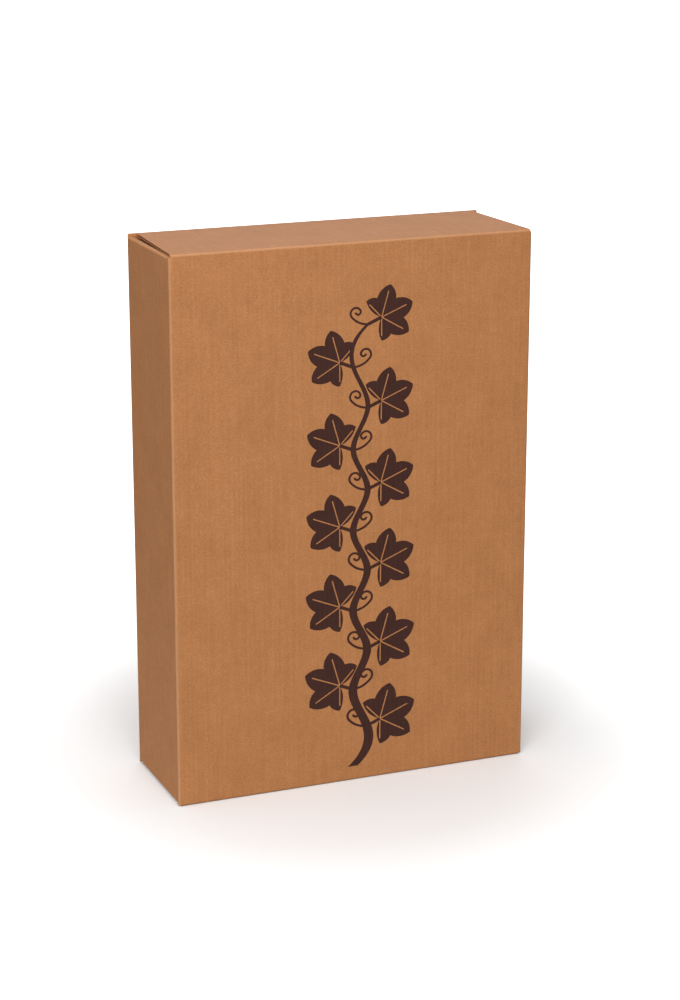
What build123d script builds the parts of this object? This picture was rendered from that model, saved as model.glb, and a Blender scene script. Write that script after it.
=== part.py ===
from build123d import *

import os
from math import cos, radians, sin, sqrt, tan

# A tall folding box of corrugated board for three bottles that stand in a row.
# The middle of its footprint is the origin, the front faces -Y and +Z is up. Sizes are millimetres.

# Outside of the closed box
width = 245.0
depth = 84.0
height = 360.0

# The board and the way it bends: a crease is rounded outside and nearly sharp inside
board = 1.6
inner_fold_radius = 0.2
cut_overrun = 20.0

# Walls: raw corners that stop short of the folds, the back wall's raw top, and the lap glued inside it
corner_lift = 1.2
corner_step = 0.1
back_drop = 0.4
back_edge_gap = 0.5
lap_width = 28.0
lap_top_gap = 34.0
lap_bottom_gap = 4.0
lap_taper = 6.0

# Lid: bent over from the front wall, narrower towards the back, with a flap that tucks in
crease_gap = 0.15
crease_end_gap = 0.4
lid_front_inset = 1.2
lid_back_inset = 5.6
tuck_gap = 0.4
tuck_length = 24.0
tuck_lean_degrees = 9.5
tuck_corner_radius = 10.0

# Dust flaps: bent in from the side walls just under the lid, and hanging down from there
dust_lid_gap = 0.2
dust_droop_degrees = 26.0
dust_length = 52.0
dust_front_gap = 1.5
dust_back_gap = 1.0
dust_tuck_gap = 0.6
dust_shoulder_depth = 2.9
dust_taper = 4.5
dust_chamfer = 6.0

# Bottom: two hooked panels that lock in one layer, with two side flaps glued on them
bottom_inset = 2.0
seam_gap = 0.5
seam_jog = 13.0
seam_run = 9.0
seam_radius = 7.0
side_flap_length = 42.0
side_flap_gap = 1.0
side_flap_chamfer = 30.0

# Divider: one strip folded into three cells, loose in the box
divider_height = 240.0
divider_gap = 0.4
divider_end_gap = 1.0

# Print on the front: a climbing vine in one ink
ink = 0.1
vine_shift = 3.5
vine_bottom = 10.0
vine_half_wave = 27.0
vine_half_waves = 11
vine_sway = 5.0
stem_root_width = 7.0
stem_tip_width = 2.6
stalk_length = 10.0
stalk_width = 2.2
leaf_length = 27.0
vine_shrink_share = 0.15
leaf_tilt_degrees = 68.0
vein_width = 0.9
tendril_width = 1.6
tendril_reach_radius = 17.0
tendril_curl_radius = 4.2

# Five-lobed leaf: degrees from its middle vein, and reach as shares of the leaf's length
lobe_degrees = (0.0, 27.0, 52.0, 82.0, 112.0)
lobe_reach_shares = (1.0, 0.66, 0.94, 0.56, 0.66)
lobe_bulge_share = 0.13
vein_reach_share = 0.80

# Worked out from the sizes above
half_width = width / 2
half_depth = depth / 2
fold_radius = board + inner_fold_radius
fold_leg = 2 * fold_radius
inner_back = half_depth - board
crease_shift = crease_gap / 2 / sqrt(2)

lid_half_width = half_width - lid_front_inset
lid_back_half_width = half_width - lid_back_inset
tuck_fold_y = inner_back - tuck_gap
tuck_lean = radians(tuck_lean_degrees)

dust_top = height - board - dust_lid_gap
corner_top = dust_top - corner_step
dust_droop = radians(dust_droop_degrees)
dust_corner_z = dust_top + fold_radius * (tan(radians((90 + dust_droop_degrees) / 2)) - 1)
dust_front = -half_depth + board + dust_front_gap
dust_back = inner_back - dust_back_gap
dust_shoulder_x = -lid_back_half_width - dust_tuck_gap
dust_shoulder_y = dust_back - dust_shoulder_depth
dust_tip_x = -half_width + dust_length * cos(dust_droop)

bottom_half_width = half_width - bottom_inset
side_flap_half_width = inner_back - side_flap_gap

divider_back = inner_back - board - divider_gap
divider_front = -inner_back + divider_gap
divider_end = half_width - board - divider_end_gap
cell_width = (width - 4 * board) / 3

os.makedirs("parts", exist_ok=True)

# One dust flap, on the left: its fold and its drooping panel, with a shoulder that clears the tuck flap
with BuildPart() as dust_flap:
    with BuildSketch(Plane.XZ.offset(-dust_back)):
        with BuildLine():
            FilletPolyline(
                (-half_width, dust_top - fold_leg),
                (-half_width, dust_corner_z),
                (dust_tip_x, dust_corner_z - dust_length * sin(dust_droop)),
                radius=fold_radius,
            )
            offset(amount=board, side=Side.RIGHT)
        make_face()
    extrude(amount=dust_back - dust_front)
    with BuildSketch():
        with BuildLine():
            Polyline(
                (-half_width, dust_front),
                (dust_tip_x - dust_chamfer, dust_front),
                (dust_tip_x, dust_front + dust_chamfer),
                (dust_tip_x, dust_shoulder_y - dust_taper - dust_chamfer),
                (dust_tip_x - dust_chamfer, dust_shoulder_y - dust_taper),
                (dust_shoulder_x, dust_shoulder_y),
                (-half_width + fold_leg, dust_back),
                (-half_width, dust_back),
                close=True,
            )
        make_face()
    extrude(amount=height, mode=Mode.INTERSECT)

# The two bottom panels, bent in from the front and back walls and parted by a hooked seam
with BuildPart() as bottom_panels:
    with BuildSketch(Plane.YZ):
        with BuildLine():
            FilletPolyline(
                (-half_depth, fold_leg),
                (-half_depth, 0),
                (half_depth, 0),
                (half_depth, fold_leg),
                radius=fold_radius,
            )
            offset(amount=board, side=Side.LEFT)
        make_face()
    extrude(amount=bottom_half_width, both=True)
    with BuildSketch():
        with BuildLine():
            FilletPolyline(
                (-half_width, seam_jog),
                (seam_run, seam_jog),
                (-seam_run, -seam_jog),
                (half_width, -seam_jog),
                radius=seam_radius,
            )
        trace(line_width=seam_gap)
    extrude(amount=board, mode=Mode.SUBTRACT)

# One side flap of the bottom, on the left: it lies on the two panels, with its corners cut away
with BuildPart() as side_flap:
    with BuildSketch(Plane.XZ):
        with BuildLine():
            FilletPolyline(
                (-half_width, board + fold_leg),
                (-half_width, board),
                (-half_width + side_flap_length, board),
                radius=fold_radius,
            )
            offset(amount=board, side=Side.LEFT)
        make_face()
    extrude(amount=side_flap_half_width, both=True)
    side_flap_tip = side_flap.faces().sort_by(Axis.X)[-1]
    chamfer(side_flap_tip.edges().filter_by(Axis.Z), length=side_flap_chamfer)

# The folded sheet: walls, lap, dust flaps and bottom are one piece
with BuildPart() as carton:
    with BuildSketch(Plane.XY.offset(corner_lift)):
        with BuildLine():
            FilletPolyline(
                (half_width - fold_leg, inner_back),
                (half_width, inner_back),
                (half_width, -half_depth),
                (-half_width, -half_depth),
                (-half_width, half_depth),
                (0, half_depth),
                radius=fold_radius,
            )
            offset(amount=board, side=Side.RIGHT)
        make_face()
        with Locations((0, half_depth)):
            Rectangle(half_width - back_edge_gap, board, align=(Align.MIN, Align.MAX))
    extrude(amount=height - back_drop - corner_lift)

    # The lap, tapered at both ends, that the back wall is glued to
    with BuildSketch(Plane.XZ.offset(-inner_back)):
        with BuildLine():
            Polyline(
                (half_width - fold_radius, 2 * board + lap_bottom_gap),
                (half_width - lap_width, 2 * board + lap_bottom_gap + lap_taper),
                (half_width - lap_width, height - lap_top_gap - lap_taper),
                (half_width - fold_radius, height - lap_top_gap),
                close=True,
            )
        make_face()
    extrude(amount=board)

    # The front and side walls stop short of the back wall's raw top
    with Locations((0, inner_back, corner_top)):
        Box(
            width + cut_overrun,
            depth,
            height - corner_top,
            align=(Align.CENTER, Align.MAX, Align.MIN),
            mode=Mode.SUBTRACT,
        )

    # Room for each fold: lid crease, dust flaps, bottom panels and side flaps
    with Locations((0, -half_depth, height - fold_radius)):
        Box(
            2 * (lid_half_width + crease_end_gap),
            board,
            fold_radius,
            align=(Align.CENTER, Align.MIN, Align.MIN),
            mode=Mode.SUBTRACT,
        )
    with Locations((0, dust_front, dust_top - fold_radius)):
        Box(
            width,
            dust_back - dust_front,
            fold_radius,
            align=(Align.CENTER, Align.MIN, Align.MIN),
            mode=Mode.SUBTRACT,
        )
    Box(
        2 * bottom_half_width,
        depth,
        fold_radius,
        align=(Align.CENTER, Align.CENTER, Align.MIN),
        mode=Mode.SUBTRACT,
    )
    Box(
        width,
        2 * side_flap_half_width,
        board + fold_radius,
        align=(Align.CENTER, Align.CENTER, Align.MIN),
        mode=Mode.SUBTRACT,
    )

    # The front wall's half of the lid crease, mitred so that the lid can turn on its outer corner
    with BuildSketch(Plane.YZ):
        with BuildLine():
            FilletPolyline(
                (-half_depth, height - fold_leg),
                (-half_depth, height),
                (-half_depth + fold_leg, height),
                radius=fold_radius,
            )
            offset(amount=board, side=Side.RIGHT)
        make_face()
        with Locations((-half_depth - crease_shift, height - crease_shift)):
            Rectangle(
                cut_overrun,
                cut_overrun,
                rotation=-45,
                align=(Align.CENTER, Align.MIN),
                mode=Mode.SUBTRACT,
            )
    extrude(amount=lid_half_width, both=True)

    add(bottom_panels.part)
    add(side_flap.part)
    mirror(side_flap.part, about=Plane.YZ)
    add(dust_flap.part)
    mirror(dust_flap.part, about=Plane.YZ)
carton.part.label = "carton"
export_step(carton.part, "parts/carton.step")

# The lid: the other half of the crease, the top panel and the leaning tuck flap
with BuildPart() as lid:
    with BuildSketch(Plane.YZ):
        with BuildLine():
            FilletPolyline(
                (-half_depth, height - fold_leg),
                (-half_depth, height),
                (tuck_fold_y, height),
                (tuck_fold_y - tuck_length * sin(tuck_lean), height - tuck_length * cos(tuck_lean)),
                radius=fold_radius,
            )
            offset(amount=board, side=Side.RIGHT)
        make_face()
        with Locations((-half_depth + crease_shift, height + crease_shift)):
            Rectangle(
                cut_overrun,
                cut_overrun,
                rotation=-45,
                align=(Align.CENTER, Align.MAX),
                mode=Mode.SUBTRACT,
            )
    extrude(amount=half_width, both=True)
    with BuildSketch():
        with BuildLine():
            Polyline(
                (-lid_half_width, -half_depth),
                (lid_half_width, -half_depth),
                (lid_back_half_width, tuck_fold_y),
                (-lid_back_half_width, tuck_fold_y),
                close=True,
            )
        make_face()
    extrude(amount=height, mode=Mode.INTERSECT)
    tuck_tip = lid.faces().sort_by(Axis.Z)[0]
    fillet(tuck_tip.edges().sort_by(SortBy.LENGTH)[:2], radius=tuck_corner_radius)
lid.part.label = "lid"
export_step(lid.part, "parts/lid.step")

# The divider: back, cross, front, cross and back panels of one strip, standing on the side flaps
with BuildPart() as bottle_divider:
    with BuildSketch(Plane.XY.offset(2 * board)):
        with BuildLine():
            FilletPolyline(
                (-divider_end, divider_back),
                (-cell_width / 2, divider_back),
                (-cell_width / 2, divider_front + board),
                (cell_width / 2, divider_front + board),
                (cell_width / 2, divider_back),
                (divider_end, divider_back),
                radius=(fold_radius, inner_fold_radius, inner_fold_radius, fold_radius),
            )
            offset(amount=board, side=Side.RIGHT)
        make_face()
    extrude(amount=divider_height)
bottle_divider.part.label = "bottle_divider"
export_step(bottle_divider.part, "parts/bottle_divider.step")


def leaf_point(degrees, reach_share):
    """A point of the leaf's outline, at an angle from its middle vein."""
    reach = leaf_length * reach_share
    return (reach * sin(radians(degrees)), reach * cos(radians(degrees)))


# One leaf of the vine, growing up from its stalk at the origin, with bare veins
lobe_points = [leaf_point(*lobe) for lobe in zip(lobe_degrees, lobe_reach_shares)]
lobe_points.append((0, 0))
with BuildSketch() as vine_leaf:
    with BuildLine():
        for start, end in zip(lobe_points, lobe_points[1:]):
            bulge = lobe_bulge_share * (Vector(end) - Vector(start)).length
            SagittaArc(start, end, bulge)
        mirror(about=Plane.YZ)
    make_face()
    with BuildLine():
        for degrees, reach_share in zip(lobe_degrees[::2], lobe_reach_shares[::2]):
            vein_end = leaf_point(degrees, reach_share * vein_reach_share)
            Line((0, 0), vein_end)
            if degrees > 0:
                Line((0, 0), (-vein_end[0], vein_end[1]))
    trace(line_width=vein_width, mode=Mode.SUBTRACT)

# One tendril, curling up to the right from the origin in three tightening arcs
with BuildSketch() as tendril:
    with BuildLine():
        sweep_out = JernArc((0, 0), tangent=(1, 0), radius=tendril_reach_radius, arc_size=50)
        turn_in = JernArc(sweep_out @ 1, sweep_out % 1, radius=tendril_curl_radius, arc_size=190)
        JernArc(turn_in @ 1, turn_in % 1, radius=tendril_curl_radius / 2, arc_size=200)
    trace(line_width=tendril_width)


def vine_bend(step):
    """Where the stem bends, which side it swings to there, and how far up the vine that is."""
    side = 1 if step % 2 else -1
    place = (vine_shift + side * vine_sway, vine_bottom + step * vine_half_wave)
    return place, side, step / vine_half_waves


# The print: a swaying stem that thins upwards, with a leaf and a tendril at each bend
with BuildPart() as front_print:
    with BuildSketch(Plane.XZ.offset(half_depth)):
        stem_left = []
        stem_right = []
        for step in range(vine_half_waves + 1):
            (bend_x, bend_z), side, climb_share = vine_bend(step)
            half_stem = (stem_root_width + (stem_tip_width - stem_root_width) * climb_share) / 2
            stem_left.append((bend_x - half_stem, bend_z))
            stem_right.append((bend_x + half_stem, bend_z))
        with BuildLine():
            Spline(*stem_left)
            Line(stem_left[-1], stem_right[-1])
            Spline(*stem_right)
            Line(stem_left[0], stem_right[0])
        make_face()
        for step in range(1, vine_half_waves + 1):
            (bend_x, bend_z), side, climb_share = vine_bend(step)
            size_share = 1 - vine_shrink_share * climb_share
            leaf = scale(vine_leaf.sketch, by=size_share, mode=Mode.PRIVATE)
            curl = scale(tendril.sketch, by=size_share, mode=Mode.PRIVATE)
            if side > 0:
                curl = mirror(curl, about=Plane.YZ, mode=Mode.PRIVATE)
            with BuildLine():
                stalk = PolarLine((bend_x, bend_z), stalk_length, 90 - side * leaf_tilt_degrees)
            trace(line_width=stalk_width)
            with Locations(Location(stalk @ 1, -side * leaf_tilt_degrees)):
                add(leaf)
            with Locations((bend_x, bend_z)):
                add(curl)
    extrude(amount=ink)
front_print.part.label = "front_print"
export_step(front_print.part, "parts/front_print.step")
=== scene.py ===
# %% [markdown]
# A tall folding carton of brown corrugated board, for three wine bottles that stand in a row. The packed
# CAD model is the fixed frame of this scene: it gives every panel its place and size. Blender adds what
# the solids leave out, which is the finish of the paper, the flutes that show where the board is cut, the
# crease that holds the lid, and the ink of the print. Lengths are metres, as in the frame.

# %% Load the frame and keep its box
from collections import namedtuple
from math import asin, cos, pi, radians, sin, sqrt

import bmesh
import bpy
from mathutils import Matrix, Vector


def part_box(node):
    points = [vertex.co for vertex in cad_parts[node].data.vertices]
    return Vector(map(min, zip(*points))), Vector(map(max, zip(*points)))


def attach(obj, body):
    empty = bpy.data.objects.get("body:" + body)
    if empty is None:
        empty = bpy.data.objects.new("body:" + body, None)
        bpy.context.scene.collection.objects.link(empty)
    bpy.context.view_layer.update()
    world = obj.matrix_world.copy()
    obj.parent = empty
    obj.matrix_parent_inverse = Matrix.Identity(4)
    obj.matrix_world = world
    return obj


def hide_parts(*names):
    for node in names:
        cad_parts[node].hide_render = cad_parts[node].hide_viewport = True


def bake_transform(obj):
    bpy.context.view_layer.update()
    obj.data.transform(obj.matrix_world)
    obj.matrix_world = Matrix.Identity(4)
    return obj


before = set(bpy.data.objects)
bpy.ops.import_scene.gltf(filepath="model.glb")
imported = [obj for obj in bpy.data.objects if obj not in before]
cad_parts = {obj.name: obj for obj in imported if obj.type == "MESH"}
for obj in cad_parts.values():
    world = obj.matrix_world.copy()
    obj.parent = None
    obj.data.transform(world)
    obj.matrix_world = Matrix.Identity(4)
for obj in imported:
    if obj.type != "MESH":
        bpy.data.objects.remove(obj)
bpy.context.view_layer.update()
scene = bpy.context.scene
MM = 0.001

carton_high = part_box("carton")[1]
lid_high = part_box("lid")[1]
half_width = carton_high.x
half_depth = carton_high.y
top = lid_high.z
print("nodes", list(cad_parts), "with the lid's top at", round(top / MM, 1), "mm")

# %% [markdown]
# The board is a fine-flute corrugated board, 1.6 mm thick: two flat papers, the liners, with a waved paper
# glued between them. The waves are about 3.3 mm apart and stand upright in the walls. The fine detail
# below could be scaled by eye, but with real sizes the flutes, the folds and the grain fit each other.

# %% Real sizes of the board
board = 1.6 * MM
liner = 0.24 * MM
flute_paper = 0.20 * MM
flute_pitch = 3.3 * MM
fold_radius = 1.8 * MM
core = board - 2 * liner
print("core between the liners", round(core / MM, 2), "mm")

# %% [markdown]
# The camera comes before the pieces, because every later choice is judged through it. It could be moved by
# hand until the picture fits. The box's own corners in the photograph fix it more surely: a long lens, a
# little above the box and to its left. The photograph's frame is upright, so the sensor's width lies along
# the 1000 pixels of its height.

# %% Camera
photo_height_px = 1000
focal_px = 2484
sensor_mm = 36.0
azimuth = radians(22.25)
elevation = radians(15.99)
camera_place = Vector((-588.6, -1454.8, 631.3)) * MM

camera_data = bpy.data.cameras.new("camera")
camera_data.sensor_width = sensor_mm
camera_data.lens = focal_px / photo_height_px * sensor_mm
camera = bpy.data.objects.new("camera", camera_data)
camera.location = camera_place
looking = Vector((sin(azimuth) * cos(elevation), cos(azimuth) * cos(elevation), -sin(elevation)))
camera.rotation_euler = looking.to_track_quat("-Z", "Y").to_euler()
scene.collection.objects.link(camera)
scene.camera = camera
print("camera lens", round(camera_data.lens, 1), "mm")

# %% [markdown]
# The walls, the lid and the divider are folded sheets that keep the exact form of their solids. They could
# be modelled again from planes, but a copy of the CAD mesh is true from the start. The copy is welded and
# its flat triangles are joined into whole panels, which gives clean faces to work on. A cut edge is then
# easy to tell from a panel or a fold: it is a narrow face with sharp corners along both long sides.

# %% Copies of the folded sheets, with their cut edges found
PANEL, CUT, FLUTE = 0, 1, 2
weld = 0.002 * MM
flat_within = radians(0.2)
sharp_from = radians(35)
slender = 2
widest_cut = 1.1 * board


def sheet_copy(node):
    """A welded bmesh copy of a CAD node's mesh, with flat areas joined into single faces."""
    bm = bmesh.new()
    bm.from_mesh(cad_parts[node].data)
    bmesh.ops.remove_doubles(bm, verts=bm.verts, dist=weld)
    bmesh.ops.dissolve_limit(bm, angle_limit=flat_within, verts=bm.verts, edges=bm.edges)
    bm.normal_update()
    return bm


def mean_width(face):
    """Twice a face's area over the length of its outline: about the width of a long narrow face."""
    return 2 * face.calc_area() / sum(edge.calc_length() for edge in face.edges)


def is_cut(face):
    """True for the narrow face where the board was cut."""
    across = mean_width(face)
    long_edges = [edge for edge in face.edges if edge.calc_length() > slender * across]
    corners = [edge.calc_face_angle(0) for edge in long_edges]
    return across < widest_cut and bool(corners) and min(corners) > sharp_from


sheets = {node: sheet_copy(node) for node in ("carton", "lid", "bottle_divider")}
for node, bm in sheets.items():
    for face in bm.faces:
        face.material_index = CUT if is_cut(face) else PANEL
    print(node, len(bm.faces), "faces,", sum(f.material_index == CUT for f in bm.faces), "of them cut edges")

# %% [markdown]
# On the real board a cut across the flutes shows the waved paper between the liners, and a cut along them
# shows one dark channel. A picture of waves would do from afar but is flat close up, so the edges are
# opened for real: a slot is cut between the liners, and a waved ribbon is set in it where the cut crosses
# the flutes. First the straight cut edges are read off the copies, so that nothing is placed by hand. The
# edges in the lid's crease and in the bottom stay closed, because they are out of sight.

# %% Find the straight cut edges that need a slot
CutEdge = namedtuple("CutEdge", "start along length across inward crosses")
shortest_edge = 8 * MM
hidden_below = 10 * MM
right_way, back_way, up = Vector((1, 0, 0)), Vector((0, 1, 0)), Vector((0, 0, 1))
mitre = (back_way + up).normalized()
# Two directions count as the same, or as mostly the same, from these cosines of the angle between them.
same_way, mostly = 0.95, 0.7


def cut_edges(bm, flute_axis):
    """Each straight cut edge: its start, its directions, its length, and if it crosses the flutes."""
    found = []
    for face in bm.faces:
        in_crease = abs(face.normal.dot(mitre)) > same_way
        if face.material_index != CUT or in_crease:
            continue
        for loop in face.loops:
            start, end = loop.vert.co, loop.link_loop_next.vert.co
            length = (end - start).length
            along = (end - start).normalized()
            across = face.normal.cross(along)
            first_side = max(across, key=abs) > 0
            if length < shortest_edge or not first_side or max(start.z, end.z) < hidden_below:
                continue
            inward = -face.normal
            crosses = abs(inward.dot(flute_axis(across))) > mostly
            found.append(CutEdge(start + across * board / 2, along, length, across, inward, crosses))
    return found


def carton_flutes(across):
    """Flutes stand upright in the walls, and run on from the side walls into their flaps."""
    sideways = abs(across.x) > abs(across.y)
    return across.cross(back_way if sideways else right_way).normalized()


def lid_flutes(across):
    """Flutes run from the front wall over the lid and down its tuck flap."""
    return across.cross(right_way).normalized()


def divider_flutes(across):
    """Flutes stand upright in every panel of the divider."""
    return up


flute_axes = {"carton": carton_flutes, "lid": lid_flutes, "bottle_divider": divider_flutes}
edges_of = {node: cut_edges(bm, flute_axes[node]) for node, bm in sheets.items()}
for node, edges in edges_of.items():
    print(node, len(edges), "cut edges to open,", sum(edge.crosses for edge in edges), "across the flutes")

# %% [markdown]
# The slots are the dark hollows between the two liners of a cut edge. They could be made by inset and
# extrude, one face at a time. A boolean takes all the blocks of a sheet out at once, and its exact solver
# is the right one here, because the blocks are thin and lie close to the board's faces. A slot stops short
# of a sheet's corners, where the die has pressed the liners together.

# %% Open the cut edges
slot_depth = 4 * MM
end_margin = fold_radius
overrun = 1 * MM


def slot_block(bm, edge):
    """Adds the block that opens one cut edge between its liners."""
    corner = edge.start + edge.along * end_margin - edge.across * core / 2 - edge.inward * overrun
    long_side = edge.along * (edge.length - 2 * end_margin)
    thin_side = edge.across * core
    deep_side = edge.inward * (slot_depth + overrun)
    for vert in bmesh.ops.create_cube(bm, size=1)["verts"]:
        far_along, far_across, far_in = (part + 0.5 for part in vert.co)
        vert.co = corner + long_side * far_along + thin_side * far_across + deep_side * far_in


def add_piece(name, bm):
    """Turns a bmesh into an object in the scene and frees the bmesh."""
    mesh = bpy.data.meshes.new(name)
    bm.to_mesh(mesh)
    bm.free()
    piece = bpy.data.objects.new(name, mesh)
    scene.collection.objects.link(piece)
    return piece


def keep_modified(piece):
    """Makes what a piece's modifiers show its own mesh."""
    shown = piece.evaluated_get(bpy.context.evaluated_depsgraph_get())
    piece.data = bpy.data.meshes.new_from_object(shown)
    piece.modifiers.clear()


boards = {}
for node, bm in sheets.items():
    blocks = bmesh.new()
    for edge in edges_of[node]:
        slot_block(blocks, edge)
    bmesh.ops.recalc_face_normals(blocks, faces=blocks.faces)
    for face in blocks.faces:
        face.material_index = CUT
    piece = add_piece(node + "_board", bm)
    cutter = add_piece(node + "_blocks", blocks)
    slots = piece.modifiers.new("slots", "BOOLEAN")
    slots.operation = "DIFFERENCE"
    slots.solver = "EXACT"
    slots.object = cutter
    keep_modified(piece)
    bpy.data.objects.remove(cutter)
    boards[node] = piece
    print(piece.name, len(piece.data.polygons), "faces")

# %% [markdown]
# The waved paper is what keeps the liners apart and makes the board stiff. It could be a curve with a
# bevel, but a ribbon of plain quads is lighter and needs no conversion. It follows a sine wave at the real
# pitch, touches both liners, and sits a hair below the rim, as the soft waved paper does when a die cuts
# it.

# %% Set the waved paper in the slots
steps_per_wave = 10
set_back = 0.12 * MM
swing = (core - flute_paper) / 2


def flute_ribbon(bm, edge):
    """Adds the waved paper that shows in one cut edge."""
    span = edge.length - 2 * end_margin
    count = round(span / flute_pitch * steps_per_wave)
    corners = ((-1, set_back), (1, set_back), (1, slot_depth), (-1, slot_depth))
    rings = []
    for step in range(count + 1):
        place = span * step / count
        sway = swing * sin(2 * pi * place / flute_pitch)
        middle = edge.start + edge.along * (end_margin + place) + edge.across * sway
        rings.append([bm.verts.new(middle + edge.across * side * flute_paper / 2 + edge.inward * deep)
                      for side, deep in corners])
    faces = [bm.faces.new(rings[0]), bm.faces.new(rings[-1])]
    for ring, following in zip(rings, rings[1:]):
        for i in range(len(corners)):
            j = (i + 1) % len(corners)
            faces.append(bm.faces.new((ring[i], ring[j], following[j], following[i])))
    bmesh.ops.recalc_face_normals(bm, faces=faces)
    for face in faces:
        face.material_index = FLUTE


for node, piece in boards.items():
    bm = bmesh.new()
    bm.from_mesh(piece.data)
    for edge in edges_of[node]:
        if edge.crosses:
            flute_ribbon(bm, edge)
    bm.to_mesh(piece.data)
    bm.free()
    print(piece.name, len(piece.data.polygons), "faces with its flutes")

# %% [markdown]
# The lid hangs on a crease, where the board of the front wall bends on into the lid. The two solids meet
# there in a mitre with a hair's gap. Bones or a shape key could bend a strip there. Here a web of thin
# layers fills the gap, from its round ridge to its inside corner.

# %% Crease web between the front wall and the lid
crease_gap = 0.15 * MM
web_end_gap = 0.05 * MM
web_layers = 24
# From the sharp outer corner of a fold, along its mitre, to its rounded ridge and to its inside corner.
ridge = fold_radius * (sqrt(2) - 1)
inside_corner = board * sqrt(2)
fold_corner = Vector((0, -half_depth, top))
into_box = (back_way - up).normalized()
web_half_length = max(vert.co.x for vert in boards["lid"].data.vertices) - web_end_gap


def layer_shift(layer):
    """How far across the gap a layer lies, on the inverse of a soft start and stop, for an even fan."""
    return -crease_gap * sin(asin(1 - 2 * layer / web_layers) / 3)


bm = bmesh.new()
sections = []
for end in (-web_half_length, web_half_length):
    outer = []
    inner = []
    for layer in range(web_layers + 1):
        place = fold_corner + mitre * layer_shift(layer) + right_way * end
        outer.append(bm.verts.new(place + into_box * ridge))
        inner.append(bm.verts.new(place + into_box * inside_corner))
    sections.append(outer + inner[::-1])
    for a, b, c, d in zip(outer, outer[1:], inner[1:], inner):
        bm.faces.new((a, b, c, d))
left, right = sections
for i in range(len(left)):
    j = (i + 1) % len(left)
    bm.faces.new((left[i], left[j], right[j], right[i]))
bmesh.ops.recalc_face_normals(bm, faces=bm.faces)
crease_web = add_piece("crease_web", bm)
print("crease web", len(crease_web.data.polygons), "faces")

# %% [markdown]
# Bending breaks the surface of the paper, so every fold of the real box is a little paler. Its round ridge
# also catches the light, and both are painted here as one pale line: partly crease wear, partly a painted
# highlight. The lid's crease is bent most often and is painted palest. The lines could be painted on by
# hand, but a mark that is worked out stays on its fold when a size changes. So each vertex gets one, by its
# distance from the sharp corner that the two panels of a fold would meet in.

# %% Fold lines, their wear and their painted highlight
# How pale each kind of fold is painted: crease wear together with a painted highlight on its round ridge.
crease_wear_and_highlight, wall_fold_wear_and_highlight, flap_fold_wear_and_highlight = 1.0, 0.8, 0.6
# The side flaps fold at the top of the side walls, which is read off the mesh between the corner folds.
between_walls = half_depth - fold_radius - weld
side_fold_top = max(vert.co.z for vert in boards["carton"].data.vertices
                    if abs(vert.co.x) > half_width - board and abs(vert.co.y) < between_walls)

# The right wall folds into the lap that is glued inside the back wall, so that fold lies one board deeper.
fold_lines = [
    (fold_corner, right_way, crease_wear_and_highlight),
    (Vector((0, lid_high.y, top)), right_way, flap_fold_wear_and_highlight),
    (Vector((-half_width, half_depth, 0)), up, wall_fold_wear_and_highlight),
    (Vector((half_width, half_depth - board, 0)), up, wall_fold_wear_and_highlight),
]
for side in (-1, 1):
    fold_lines += [
        (Vector((side * half_width, -half_depth, 0)), up, wall_fold_wear_and_highlight),
        (Vector((0, side * half_depth, 0)), right_way, wall_fold_wear_and_highlight),
        (Vector((side * half_width, 0, board)), back_way, wall_fold_wear_and_highlight),
        (Vector((side * half_width, 0, side_fold_top)), back_way, flap_fold_wear_and_highlight),
    ]


def fold_wear_and_highlight_mark(point):
    """Wear and painted highlight on a fold's ridge, falling to 0 where the flat panels start."""
    marks = [wear_and_highlight * (fold_radius - (point - place).cross(way).length) / (fold_radius - ridge)
             for place, way, wear_and_highlight in fold_lines]
    return max(0.0, min(1.0, max(marks)))


print(len(fold_lines), "folds, and those of the side flaps end at", round(side_fold_top / MM, 1), "mm")

# %% [markdown]
# The paper's pattern has to follow the sheet as it was before folding: fibres and flutes turn with the
# panel at each fold. An unwrap with seams could do that, but its scale would have to be set afterwards.
# Here each face gets flat coordinates in metres, first across the flutes and then along them, by the way
# it faces, so a pattern has its real size at once. Panels that face different ways are shifted, so that
# the pattern doesn't repeat on them.

# %% Flat paper coordinates
panel_shift = 0.61


def paper_place(point, facing, is_carton):
    """Flat coordinates of a point: across the flutes, then along them."""
    if abs(facing.z) > mostly:
        dust_flap = is_carton and point.z > top / 2
        return (point.y, point.x) if dust_flap else (point.x, point.y)
    return (point.y, point.z) if abs(facing.x) > abs(facing.y) else (point.x, point.z)


def lay_out(piece):
    """Writes the paper coordinates and fold marks into a piece's mesh, and says which faces are flat."""
    bm = bmesh.new()
    bm.from_mesh(piece.data)
    bm.normal_update()
    paper = bm.loops.layers.uv.new("paper")
    fold = bm.verts.layers.float.new("fold")
    panels = {face for face in bm.faces if mean_width(face) > fold_radius}
    flat = [face in panels or face.material_index == CUT for face in bm.faces]
    # A mark at a panel's corner would smear over the whole panel, so only the narrow fold faces have one.
    for vert in bm.verts:
        vert[fold] = 0.0 if panels.intersection(vert.link_faces) else fold_wear_and_highlight_mark(vert.co)
    for face in bm.faces:
        facing = max(range(3), key=lambda axis: abs(face.normal[axis]))
        shift = panel_shift * (2 * facing + (face.normal[facing] > 0))
        for loop in face.loops:
            across, along = paper_place(loop.vert.co, face.normal, piece.name.startswith("carton"))
            loop[paper].uv = (across + shift, along + shift)
    bm.to_mesh(piece.data)
    bm.free()
    return flat


vine_print = bpy.data.objects.new("vine_print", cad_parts["front_print"].data.copy())
scene.collection.objects.link(vine_print)
flat_faces = {piece: lay_out(piece) for piece in (*boards.values(), crease_web, vine_print)}
for piece, flat in flat_faces.items():
    print(piece.name, len(flat), "faces laid out,", sum(flat), "of them flat")

# %% [markdown]
# A fold of real board is round, and the panels beside it are dead flat. Flat shading would show the steps
# in the folds, and plain smooth shading would bend the panels too. Weighting the normals by the size of
# the faces keeps the panels nearly flat, and the panels and cut edges then get their own exact normals.

# %% Round folds between flat panels
# At the modifier's top weight the largest face beside a corner decides its normal.
panel_pull = 100


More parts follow.
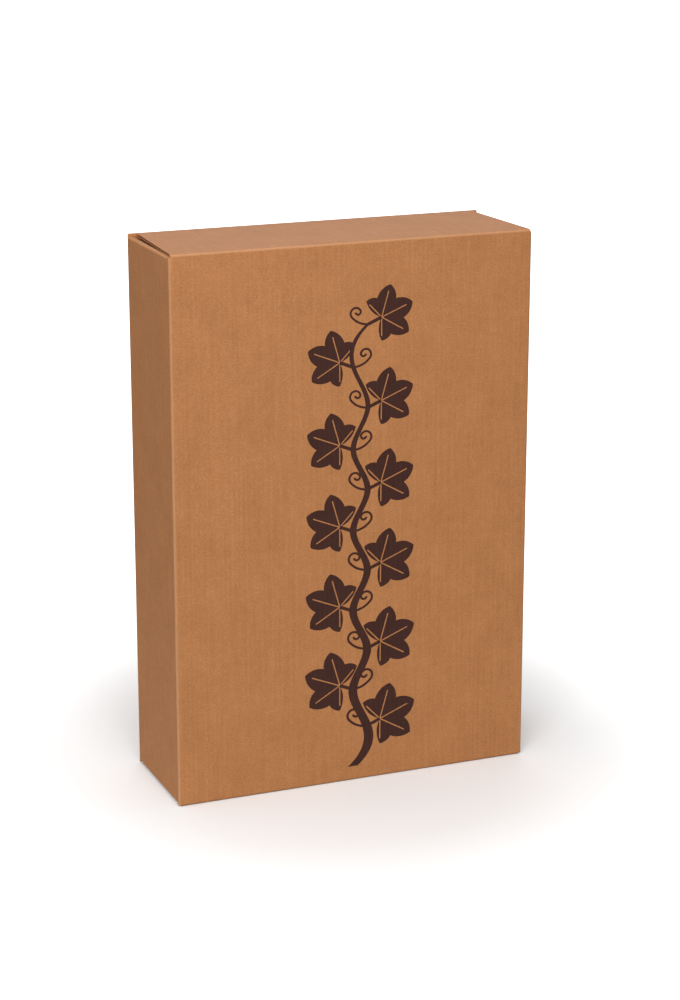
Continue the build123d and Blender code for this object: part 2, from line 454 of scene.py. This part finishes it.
def soften_folds(piece, flat):
    """Shades folds round and keeps panels flat and cut edges sharp."""
    piece.data.shade_smooth()
    piece.data.set_sharp_from_angle(angle=sharp_from)
    weighted = piece.modifiers.new("flat panels", "WEIGHTED_NORMAL")
    weighted.keep_sharp = True
    weighted.weight = panel_pull
    keep_modified(piece)
    normals = [corner.vector.copy() for corner in piece.data.corner_normals]
    for face in piece.data.polygons:
        if flat[face.index]:
            for corner in face.loop_indices:
                normals[corner] = face.normal.copy()
    piece.data.normals_split_custom_set(normals)


for piece in (*boards.values(), crease_web):
    soften_folds(piece, flat_faces[piece])
    print(piece.name, "shaded round at its folds")

# %% [markdown]
# All the finishes here are papers or ink on paper. Each could be wired by itself, but shared tools keep
# the recipes short. Colours are written as sRGB hex, the way a designer notes them, and the shaders want
# linear light, so one function turns them. One function adds a node with its settings and links. The
# others make the two patterns that paper has, grain and the flutes that press through, and add patterns
# up to one tone that picks the colour.

# %% Tools for paper finishes
# The sockets of a Mix node share their names between numbers, vectors and colours, so they go by place.
MIX_SHARE, COLOUR_A, COLOUR_B, COLOUR_OUT = 0, 6, 7, 2
grain_roughness = 0.6


def linear(code):
    """Linear RGBA of an sRGB hex colour."""
    parts = [int(code[i:i + 2], 16) / 255 for i in (1, 3, 5)]
    return [p / 12.92 if p <= 0.04045 else ((p + 0.055) / 1.055) ** 2.4 for p in parts] + [1.0]


def add_node(tree, kind, inputs=None, **settings):
    """Adds a node with its settings. An input takes a plain value or another node's output."""
    made = tree.nodes.new(kind)
    for name, value in settings.items():
        setattr(made, name, value)
    for name, value in (inputs or {}).items():
        if isinstance(value, bpy.types.NodeSocket):
            tree.links.new(value, made.inputs[name])
        else:
            made.inputs[name].default_value = value
    return made


def new_finish(name):
    """A material with its node tree, its shader and the flat paper coordinates."""
    material = bpy.data.materials.new(name)
    material.use_nodes = True
    tree = material.node_tree
    paper = add_node(tree, "ShaderNodeUVMap", uv_map="paper").outputs["UV"]
    return material, tree, tree.nodes["Principled BSDF"], paper


def paper_grain(tree, paper, across, along, detail):
    """Noise whose grains are so many metres across and along the flutes."""
    stretched = add_node(tree, "ShaderNodeMapping", {"Vector": paper, "Scale": (1 / across, 1 / along, 1)})
    noise = add_node(tree, "ShaderNodeTexNoise", {"Vector": stretched.outputs["Vector"], "Scale": 1.0,
                                                  "Detail": detail, "Roughness": grain_roughness})
    return noise.outputs["Fac"]


def flute_bands(tree, paper):
    """A wave from 0 to 1 at the pitch of the flutes."""
    across = add_node(tree, "ShaderNodeSeparateXYZ", {"Vector": paper}).outputs["X"]
    turns = add_node(tree, "ShaderNodeMath", {0: across, 1: 2 * pi / flute_pitch}, operation="MULTIPLY")
    wave = add_node(tree, "ShaderNodeMath", {0: turns.outputs[0]}, operation="SINE")
    lifted = add_node(tree, "ShaderNodeMath", {0: wave.outputs[0], 1: 0.5, 2: 0.5}, operation="MULTIPLY_ADD")
    return lifted.outputs[0]


def tone_of(tree, parts):
    """Adds up signals about 0.5, each by its weight, to one tone about 0.5."""
    tone = 0.5 - sum(weight for signal, weight in parts) / 2
    for signal, weight in parts:
        added = add_node(tree, "ShaderNodeMath", {0: signal, 1: weight, 2: tone}, operation="MULTIPLY_ADD")
        tone = added.outputs[0]
    return tone


print("one wave of the bands is", round(flute_pitch / MM, 1), "mm")

# %% [markdown]
# Kraft liner is strong brown paper, pressed on hot rolls but not coated, so it is matt. Close up it is
# never one colour: the fibre lies in soft clouds, the flutes leave upright streaks, short fibres give a
# fine grain, and a few dark flecks of bark stay in. An image of paper could give this, but it would
# repeat, and blur close up. Noise does neither, so each of these is one noise with a size in millimetres,
# and together they give the tone.

# %% Kraft liner, colour
# The eye sees a warm, slightly uneven brown, paler along the folds from crease wear and a painted highlight.
# Single fibres are far thinner than a pixel, so the grain is drawn as coarse as it needs to show.
cloud_size, cloud_weight = 26 * MM, 0.45
streak_width, streak_length, streak_weight = 2.4 * MM, 60 * MM, 0.40
mottle_size, mottle_weight = 5 * MM, 0.40
fibre_across, fibre_along, fibre_weight = 1.5 * MM, 1.0 * MM, 1.2
fleck_across, fleck_along = 2.0 * MM, 0.8 * MM
fleck_from, fleck_full, fleck_strength = 0.66, 0.78, 0.5
# The flute bands in the colour are painted shade of the faint washboard that the flutes press into the
# liner.
washboard_shade_weight = 0.04
# The fold lines are painted pale: crease wear together with a painted highlight on the round ridge.
fold_sharpness, fold_wear_and_highlight_strength = 2.0, 0.42
coarse_detail, fine_detail = 2, 3

kraft_liner, tree, shader, paper = new_finish("kraft_liner")
clouds = paper_grain(tree, paper, cloud_size, cloud_size, fine_detail)
streaks = paper_grain(tree, paper, streak_width, streak_length, coarse_detail)
mottle = paper_grain(tree, paper, mottle_size, mottle_size, coarse_detail)
fibres = paper_grain(tree, paper, fibre_across, fibre_along, fine_detail)
flecks = paper_grain(tree, paper, fleck_across, fleck_along, coarse_detail)
bands = flute_bands(tree, paper)
tone = tone_of(tree, [(clouds, cloud_weight), (streaks, streak_weight), (mottle, mottle_weight),
                      (fibres, fibre_weight), (bands, washboard_shade_weight)])
plain = add_node(tree, "ShaderNodeMix", {MIX_SHARE: tone, COLOUR_A: linear("#9c6437"),
                                         COLOUR_B: linear("#c98955")}, data_type="RGBA")
dark_flecks = add_node(tree, "ShaderNodeMapRange", {"Value": flecks, "From Min": fleck_from,
                                                    "From Max": fleck_full, "To Max": fleck_strength})
flecked = add_node(tree, "ShaderNodeMix", {MIX_SHARE: dark_flecks.outputs["Result"],
                                           COLOUR_A: plain.outputs[COLOUR_OUT],
                                           COLOUR_B: linear("#7d4f2d")}, data_type="RGBA")
# Pale fold lines: partly crease wear, partly a painted highlight where the round folds catch the light.
fold = add_node(tree, "ShaderNodeAttribute", attribute_name="fold").outputs["Fac"]
narrowed = add_node(tree, "ShaderNodeMath", {0: fold, 1: fold_sharpness}, operation="POWER")
fold_wear_and_highlight_share = add_node(tree, "ShaderNodeMath", {0: narrowed.outputs[0], 1: fold_wear_and_highlight_strength}, operation="MULTIPLY")
folded = add_node(tree, "ShaderNodeMix", {MIX_SHARE: fold_wear_and_highlight_share.outputs[0],
                                          COLOUR_A: flecked.outputs[COLOUR_OUT],
                                          COLOUR_B: linear("#d2a47e")}, data_type="RGBA")
tree.links.new(folded.outputs[COLOUR_OUT], shader.inputs["Base Color"])
print("kraft liner colour", len(tree.nodes), "nodes")

# %% [markdown]
# The same paper in light: cellulose has an index of refraction of about 1.5, which is the shader's own
# default, but the fuzz of the fibres holds the gloss low and its roughness uneven. Real displacement would
# need millions of faces for heights of a few hundredths of a millimetre. Two bumps do it instead, the
# faint washboard of the flutes below and the felt of the fibres on top.

# %% Kraft liner, gloss and bump
smoothest, roughest = 0.62, 0.80
noise_low, noise_high = 0.2, 0.8
paper_gloss = 0.4
washboard_height, washboard_strength = 0.05 * MM, 0.15
felt_height, felt_strength = 0.06 * MM, 0.5

rough = add_node(tree, "ShaderNodeMapRange", {"Value": fibres, "From Min": noise_low, "From Max": noise_high,
                                              "To Min": smoothest, "To Max": roughest})
tree.links.new(rough.outputs["Result"], shader.inputs["Roughness"])
shader.inputs["Specular IOR Level"].default_value = paper_gloss
washboard = add_node(tree, "ShaderNodeBump", {"Strength": washboard_strength, "Distance": washboard_height,
                                              "Height": bands})
felt = add_node(tree, "ShaderNodeBump", {"Strength": felt_strength, "Distance": felt_height,
                                         "Height": fibres, "Normal": washboard.outputs["Normal"]})
tree.links.new(felt.outputs["Normal"], shader.inputs["Normal"])
print("kraft liner", len(tree.nodes), "nodes")

# %% [markdown]
# Where the die has cut the liners, the torn fibre ends stand up and hold shadow. The cut edge is drawn
# darker and redder than the face of the same paper: partly the torn fibre's own tone, partly painted shade
# of the fibre ends and of the narrow slots. A mask could tint the liner there, but the cut faces are known
# by their number, so they simply get a finish of their own. It lines the slots too.

# %% Cut edge of the liners
# The eye sees a dark, fuzzy line without gloss, dark partly from the torn fibre and partly from painted
# shade.
torn_size, torn_detail = 0.7 * MM, 4
torn_roughness = 0.9
fuzz_height, fuzz_strength = 0.08 * MM, 0.6

cut_edge, tree, shader, paper = new_finish("cut_edge")
torn = paper_grain(tree, paper, torn_size, torn_size, torn_detail)
# Painted shade darkens this colour on top of the torn fibre's own tone.
torn_and_shaded_colour = add_node(tree, "ShaderNodeMix", {MIX_SHARE: torn, COLOUR_A: linear("#4d2612"),
                                               COLOUR_B: linear("#784628")}, data_type="RGBA")
tree.links.new(torn_and_shaded_colour.outputs[COLOUR_OUT], shader.inputs["Base Color"])
shader.inputs["Roughness"].default_value = torn_roughness
fuzz = add_node(tree, "ShaderNodeBump", {"Strength": fuzz_strength, "Distance": fuzz_height, "Height": torn})
tree.links.new(fuzz.outputs["Normal"], shader.inputs["Normal"])
print("cut edge", len(tree.nodes), "nodes")

# %% [markdown]
# The waved paper, the fluting medium, is made of recycled pulp. It is greyer and softer than the liners,
# with short fibres that lie every way. The liner's finish could be used again, but the wave would not
# stand out from it. It shows only as a thin line, so a finish with one noise is enough.

# %% Waved paper of the flutes
# The eye sees a dull grey-brown between the darker liners.
pulp_across, pulp_along, pulp_detail = 1.5 * MM, 0.8 * MM, 4
pulp_roughness = 0.85

flute_medium, tree, shader, paper = new_finish("flute_medium")
pulp = paper_grain(tree, paper, pulp_across, pulp_along, pulp_detail)
pulp_colour = add_node(tree, "ShaderNodeMix", {MIX_SHARE: pulp, COLOUR_A: linear("#86603f"),
                                               COLOUR_B: linear("#b18a68")}, data_type="RGBA")
tree.links.new(pulp_colour.outputs[COLOUR_OUT], shader.inputs["Base Color"])
shader.inputs["Roughness"].default_value = pulp_roughness
print("flute medium", len(tree.nodes), "nodes")

# %% [markdown]
# The vine is printed in one water-based ink by a soft rubber plate. It could be a mask on the paper, but
# as a thin piece of its own it stays sharp close up. The ink soaks into the paper, so it is matt and keeps
# the grain. The plate presses harder on the crests of the flutes, which gives faint bands, and leaves tiny
# pinholes where the paper is low.

# %% Brown ink of the print
# The eye sees a deep brown that is a little uneven, with less gloss than the bare paper.
density_size, density_weight, density_detail = 9 * MM, 0.6, 3
pinhole_size, pinhole_weight, pinhole_detail = 0.9 * MM, 0.8, 3
press_weight = 0.15
ink_roughness, ink_gloss = 0.7, 0.25
ink_height, ink_strength = 0.03 * MM, 0.3

brown_ink, tree, shader, paper = new_finish("brown_ink")
density = paper_grain(tree, paper, density_size, density_size, density_detail)
pinholes = paper_grain(tree, paper, pinhole_size, pinhole_size, pinhole_detail)
bands = flute_bands(tree, paper)
tone = tone_of(tree, [(density, density_weight), (pinholes, pinhole_weight), (bands, press_weight)])
ink_colour = add_node(tree, "ShaderNodeMix", {MIX_SHARE: tone, COLOUR_A: linear("#331a14"),
                                              COLOUR_B: linear("#4c2b23")}, data_type="RGBA")
tree.links.new(ink_colour.outputs[COLOUR_OUT], shader.inputs["Base Color"])
shader.inputs["Roughness"].default_value = ink_roughness
shader.inputs["Specular IOR Level"].default_value = ink_gloss
soaked = add_node(tree, "ShaderNodeBump", {"Strength": ink_strength, "Distance": ink_height,
                                           "Height": pinholes})
tree.links.new(soaked.outputs["Normal"], shader.inputs["Normal"])
print("brown ink", len(tree.nodes), "nodes")

# %% [markdown]
# Now each piece gets its finishes, in the order of the face numbers PANEL, CUT and FLUTE. The boards and the
# print are tied to the frame: they ride on a body and stand for their CAD nodes. The crease web belongs to
# two bodies and would tear off one of them if it rode on the other, so it is tied to neither, and its place
# is baked into its mesh.

# %% Dress the pieces and tie them to the frame
for node, piece in boards.items():
    piece.data.materials.clear()
    for finish in (kraft_liner, cut_edge, flute_medium):
        piece.data.materials.append(finish)
    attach(piece, "lid" if node == "lid" else "carton")
    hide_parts(node)

crease_web.data.materials.append(kraft_liner)
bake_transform(crease_web)

vine_print.data.materials.clear()
vine_print.data.materials.append(brown_ink)
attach(vine_print, "carton")
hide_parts("front_print")
print("tied", [piece.name for piece in flat_faces], "to the frame")

# %% [markdown]
# The box stands on a pale floor that keeps its soft shadow. A shadow catcher could do that, but it has to
# be laid on white in a second step. Here a glow that only the camera sees lifts the floor to the white of
# the background, away from the box. For the light that the floor throws back on the box, its paint is
# grey, and darker further out, so that a wide white floor doesn't wash the walls out.

# %% Floor
# The eye sees matt white with no gloss, and a soft grey only close to the box.
floor_size = 40.0
shadow_reach, white_from = 0.12, 0.46
bounce_near, bounce_far = 0.20, 0.65

bm = bmesh.new()
bmesh.ops.create_grid(bm, x_segments=1, y_segments=1, size=floor_size / 2)
floor = add_piece("floor", bm)
floor_paint = bpy.data.materials.new("floor_paint")
floor_paint.use_nodes = True
tree = floor_paint.node_tree
paint = tree.nodes["Principled BSDF"]
paint.inputs["Roughness"].default_value = 1.0
paint.inputs["Specular IOR Level"].default_value = 0.0
paint.inputs["Emission Color"].default_value = linear("#ffffff")
seen = add_node(tree, "ShaderNodeLightPath").outputs["Is Camera Ray"]
spot = add_node(tree, "ShaderNodeTexCoord").outputs["Object"]
from_box = add_node(tree, "ShaderNodeVectorMath", {0: spot}, operation="LENGTH").outputs["Value"]
dimming = add_node(tree, "ShaderNodeMapRange", {"Value": from_box, "From Min": bounce_near,
                                                "From Max": bounce_far}, interpolation_type="SMOOTHSTEP")
bounce = add_node(tree, "ShaderNodeMix", {MIX_SHARE: dimming.outputs["Result"], COLOUR_A: linear("#b0b0b0"),
                                          COLOUR_B: linear("#505050")}, data_type="RGBA")
shown = add_node(tree, "ShaderNodeMix", {MIX_SHARE: seen, COLOUR_A: bounce.outputs[COLOUR_OUT],
                                         COLOUR_B: linear("#fbfbfb")}, data_type="RGBA")
tree.links.new(shown.outputs[COLOUR_OUT], paint.inputs["Base Color"])
rise = add_node(tree, "ShaderNodeMapRange", {"Value": from_box, "From Min": shadow_reach,
                                             "From Max": white_from}, interpolation_type="SMOOTHSTEP")
glow = add_node(tree, "ShaderNodeMath", {0: rise.outputs["Result"], 1: seen}, operation="MULTIPLY")
tree.links.new(glow.outputs[0], paint.inputs["Emission Strength"])
floor.data.materials.append(floor_paint)
print("floor white from", white_from, "m")

# %% [markdown]
# The light around the box could be a picture of a studio, but a sky of two ramps is easier to steer. It is
# white and dim, and brighter low on the left, where it lights the side wall. Behind the box, to the right,
# it has one brighter patch like a lit backdrop, which the lid mirrors as a pale sheen. The camera itself
# sees plain white. No piece is metal or glass, so the camera's own rays are enough for that.

# %% Sky
sky_dim, sky_bright, backdrop_level = 0.38, 1.10, 1.65
bright_way = Vector((-0.7, 0.0, -0.7))
sky_spread = 0.7
backdrop_way = Vector((0.36, 0.89, 0.28)).normalized()
backdrop_edge, backdrop_core = 0.82, 0.95
plain_white = 1.0

world = bpy.data.worlds.new("studio")
scene.world = world
world.use_nodes = True
tree = world.node_tree
sky = tree.nodes["Background"]
sky.inputs["Color"].default_value = linear("#ffffff")
way = add_node(tree, "ShaderNodeTexCoord").outputs["Generated"]
leftward = add_node(tree, "ShaderNodeVectorMath", {0: way, 1: bright_way}, operation="DOT_PRODUCT")
plain_sky = add_node(tree, "ShaderNodeMapRange", {"Value": leftward.outputs["Value"],
                                                  "From Min": -sky_spread, "From Max": sky_spread,
                                                  "To Min": sky_dim, "To Max": sky_bright})
backward = add_node(tree, "ShaderNodeVectorMath", {0: way, 1: backdrop_way}, operation="DOT_PRODUCT")
level = add_node(tree, "ShaderNodeMapRange", {"Value": backward.outputs["Value"],
                                              "From Min": backdrop_edge, "From Max": backdrop_core,
                                              "To Min": plain_sky.outputs["Result"],
                                              "To Max": backdrop_level}, interpolation_type="SMOOTHSTEP")
seen = add_node(tree, "ShaderNodeLightPath").outputs["Is Camera Ray"]
strength = add_node(tree, "ShaderNodeMapRange", {"Value": seen, "To Min": level.outputs["Result"],
                                                 "To Max": plain_white})
tree.links.new(strength.outputs["Result"], sky.inputs["Strength"])
print("sky from", sky_dim, "to", sky_bright, "and", backdrop_level, "in the backdrop")

# %% [markdown]
# One large lamp does the rest, a softbox a metre wide, because a sun or a small lamp would draw hard
# shadows. It stands above the front, close to the camera's own direction, so the front is palest at its
# top and the shadow falls behind the box. The view transform is Standard, so that a colour renders about
# as it is written.

# %% Lamp
lamp_watts = 13.8
lamp_size = 1.0
lamp_place = Vector((-0.40, -0.98, 0.96))
lamp_aim = Vector((0, 0, top)) - lamp_place

lamp_data = bpy.data.lights.new("key", "AREA")
lamp_data.energy = lamp_watts
lamp_data.size = lamp_size
lamp = bpy.data.objects.new("key", lamp_data)
lamp.location = lamp_place
lamp.rotation_euler = lamp_aim.to_track_quat("-Z", "Y").to_euler()
scene.collection.objects.link(lamp)
scene.view_settings.view_transform = "Standard"
print("lamp", lamp_watts, "W,", round(lamp_aim.length, 2), "m from the lid")
